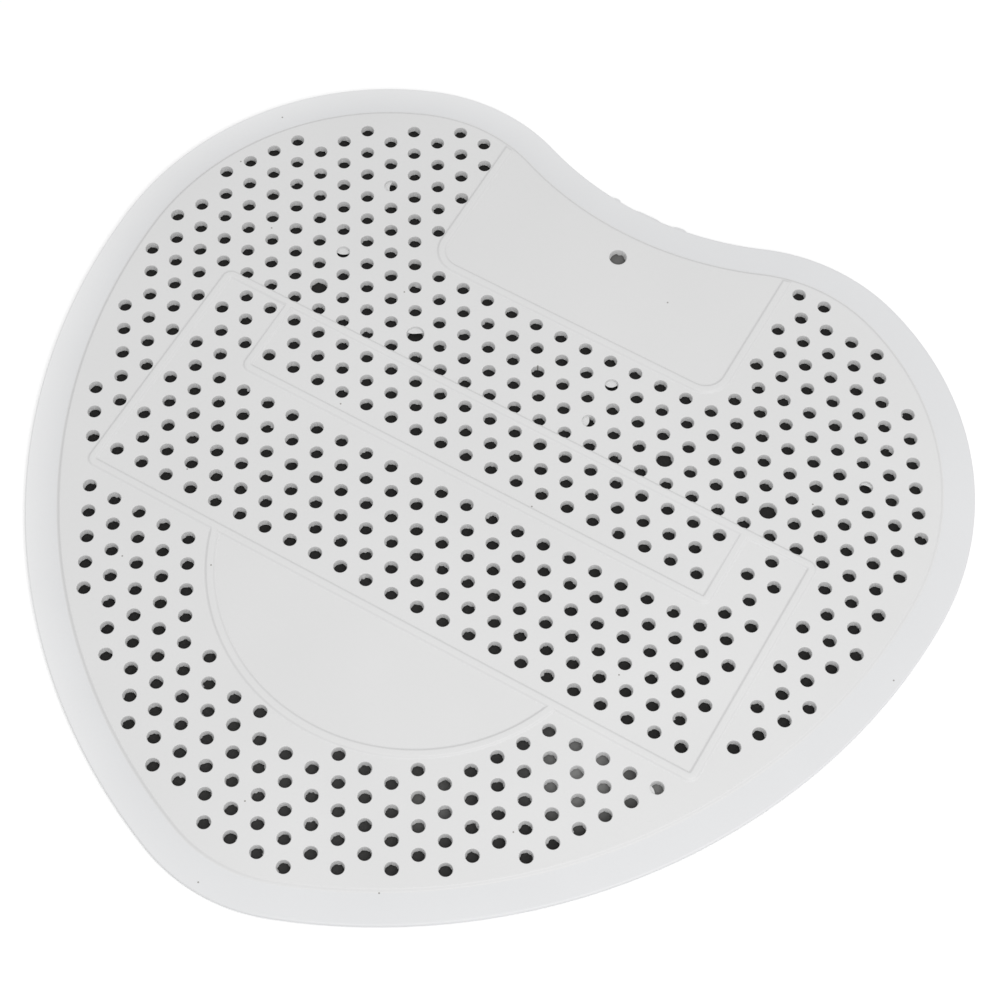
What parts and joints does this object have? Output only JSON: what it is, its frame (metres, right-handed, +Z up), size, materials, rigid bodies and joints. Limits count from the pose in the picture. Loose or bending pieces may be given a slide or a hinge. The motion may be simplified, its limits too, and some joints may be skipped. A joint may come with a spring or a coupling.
{
  "type": "urinal deodorizer screen",
  "caption": "Flat heart-shaped perforated mat moulded in one piece of soft white vinyl, with a thin flange, a blank tab at the notch and low framing ribs.",
  "frame": {"origin": "middle of the outline's bounding box, on the flat underside", "axes": "+Z up through the mat, +Y towards the notch and its blank tab, +X across the mat"},
  "size_m": [0.1958, 0.1874, 0.002],
  "materials": {
    "vinyl": "soft satin moulded vinyl, opaque white"
  },
  "bodies": {
    "root": {"screen_mat": "vinyl"}
  },
  "joints": []
}
